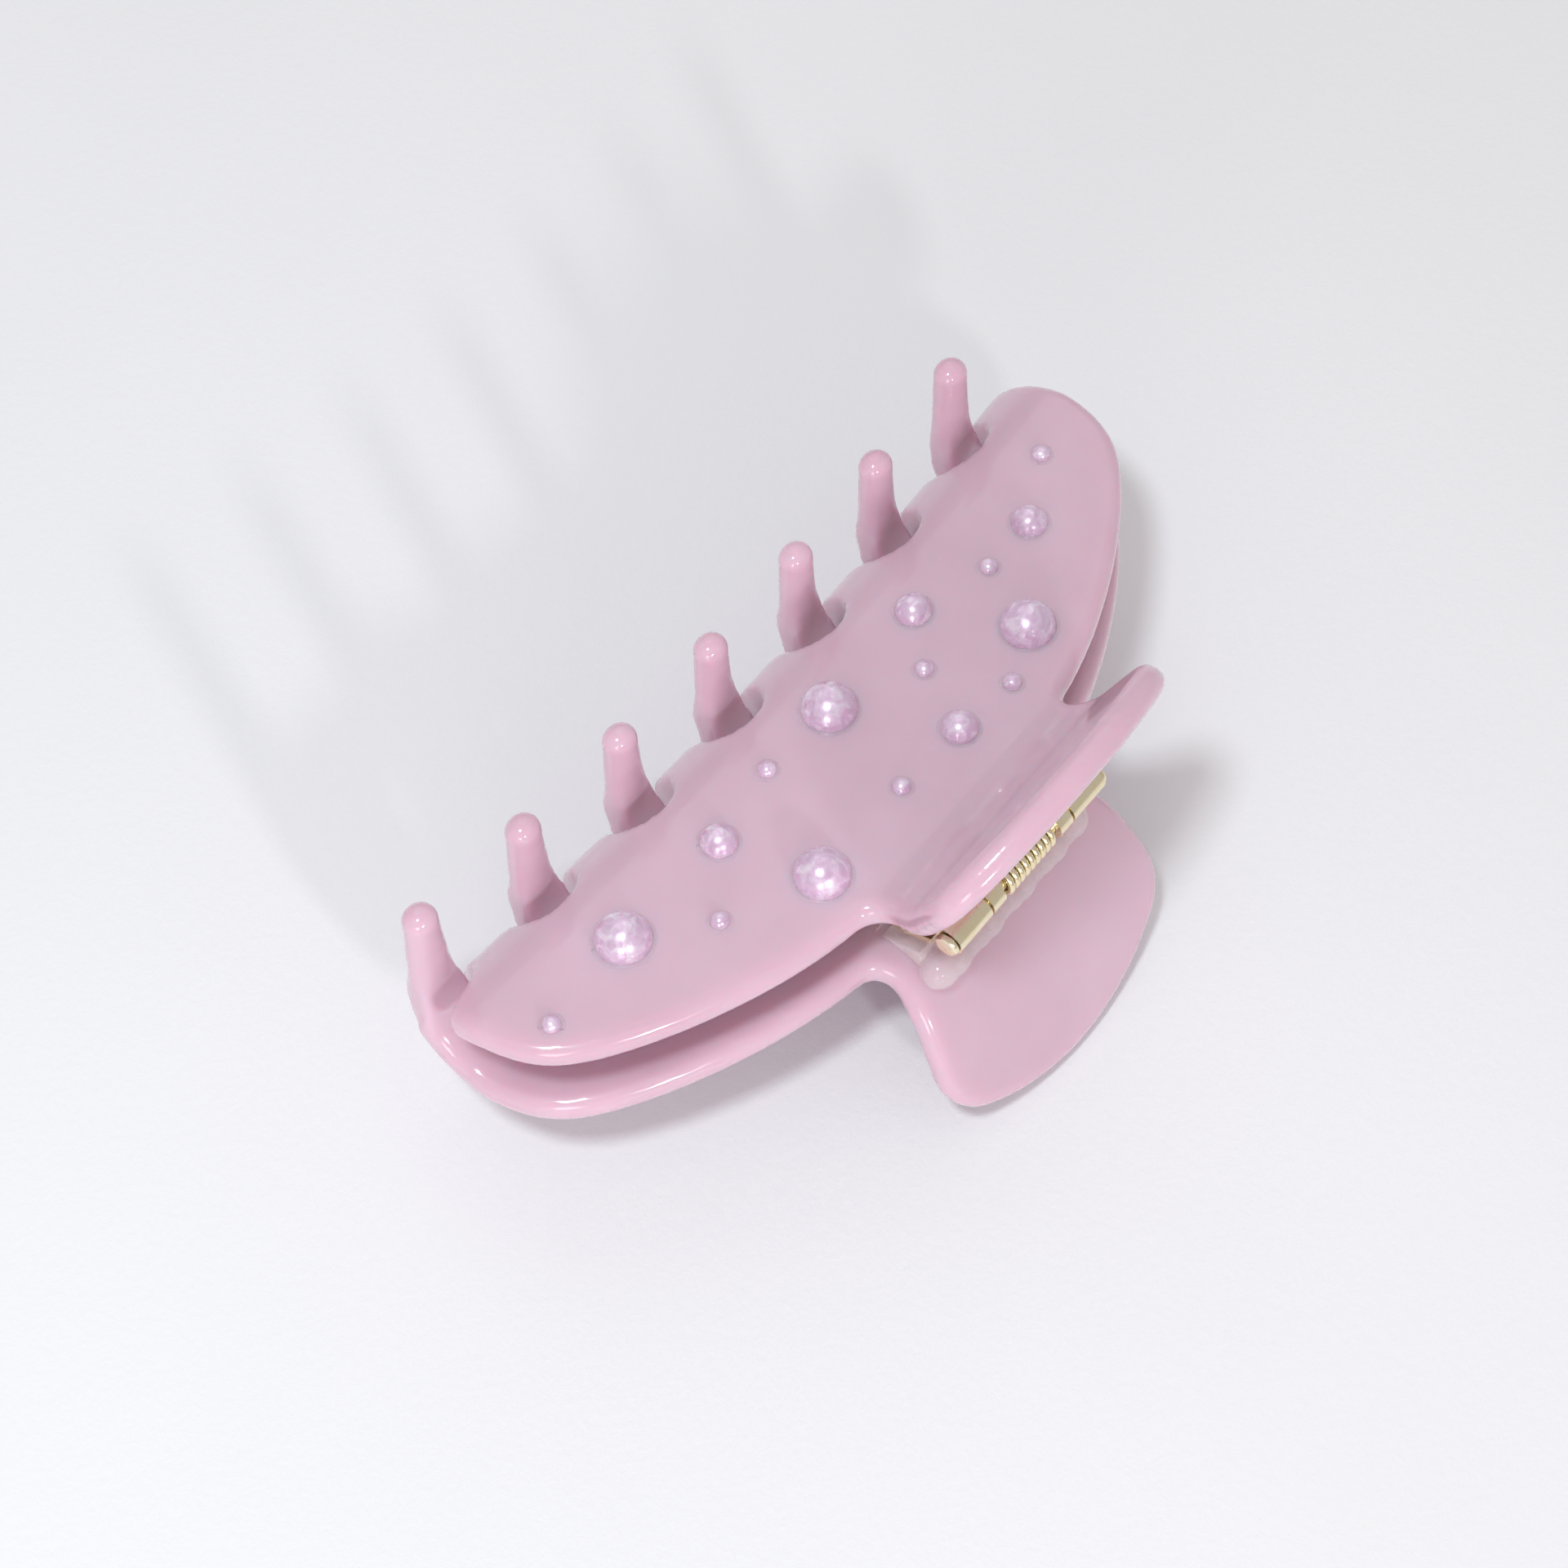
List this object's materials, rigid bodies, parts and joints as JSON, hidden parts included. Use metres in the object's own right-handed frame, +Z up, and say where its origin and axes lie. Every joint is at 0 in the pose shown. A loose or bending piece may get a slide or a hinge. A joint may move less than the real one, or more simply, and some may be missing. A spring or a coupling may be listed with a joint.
{
  "type": "claw clip",
  "caption": "Large hair claw clip: curved sheet jaws with interlocking teeth and wide finger handles on a sprung knuckle hinge, decorated with half pearls.",
  "frame": {"origin": "on the table under the middle of the clip's box, as it lies on the lower handle's edge and the upper jaw's longest tooth", "axes": "+X along the hinge pin, +Y from the handles to the teeth, +Z up"},
  "size_m": [0.103, 0.0558, 0.0497],
  "materials": {
    "jaw_plastic": "gloss",
    "pearl": "gloss",
    "gold_plate": "gloss",
    "clear_resin": "gloss"
  },
  "bodies": {
    "lower_half": {"lower_jaw": "jaw_plastic", "lower_hinge_leaf": "gold_plate", "lower_leaf_resin_bed": "clear_resin", "lower_pearl_resin": "clear_resin", "lower_large_pearl_1": "pearl", "lower_large_pearl_2": "pearl", "lower_large_pearl_3": "pearl", "lower_large_pearl_4": "pearl", "lower_medium_pearl_1": "pearl", "lower_medium_pearl_2": "pearl", "lower_medium_pearl_3": "pearl", "lower_medium_pearl_4": "pearl", "lower_small_pearl_1": "pearl", "lower_small_pearl_2": "pearl", "lower_small_pearl_3": "pearl", "lower_small_pearl_4": "pearl", "lower_small_pearl_5": "pearl", "lower_small_pearl_6": "pearl", "lower_small_pearl_7": "pearl", "lower_small_pearl_8": "pearl", "hinge_pin": "gold_plate", "torsion_spring": "gold_plate"},
    "upper_half": {"upper_jaw": "jaw_plastic", "upper_hinge_leaf": "gold_plate", "upper_leaf_resin_bed": "clear_resin", "upper_pearl_resin": "clear_resin", "upper_large_pearl_1": "pearl", "upper_large_pearl_2": "pearl", "upper_large_pearl_3": "pearl", "upper_large_pearl_4": "pearl", "upper_medium_pearl_1": "pearl", "upper_medium_pearl_2": "pearl", "upper_medium_pearl_3": "pearl", "upper_medium_pearl_4": "pearl", "upper_small_pearl_1": "pearl", "upper_small_pearl_2": "pearl", "upper_small_pearl_3": "pearl", "upper_small_pearl_4": "pearl", "upper_small_pearl_5": "pearl", "upper_small_pearl_6": "pearl", "upper_small_pearl_7": "pearl", "upper_small_pearl_8": "pearl"}
  },
  "joints": [
    {"name": "jaw_hinge", "type": "hinge", "parent": "lower_half", "child": "upper_half", "pos_m": [0, -0.01434, 0.02356], "axis": [1, 0, 0], "range_deg": [0, 120], "stiffness_Nm_per_rad": 0.06, "springref_deg": -51.57, "deforming": ["torsion_spring"]}
  ]
}
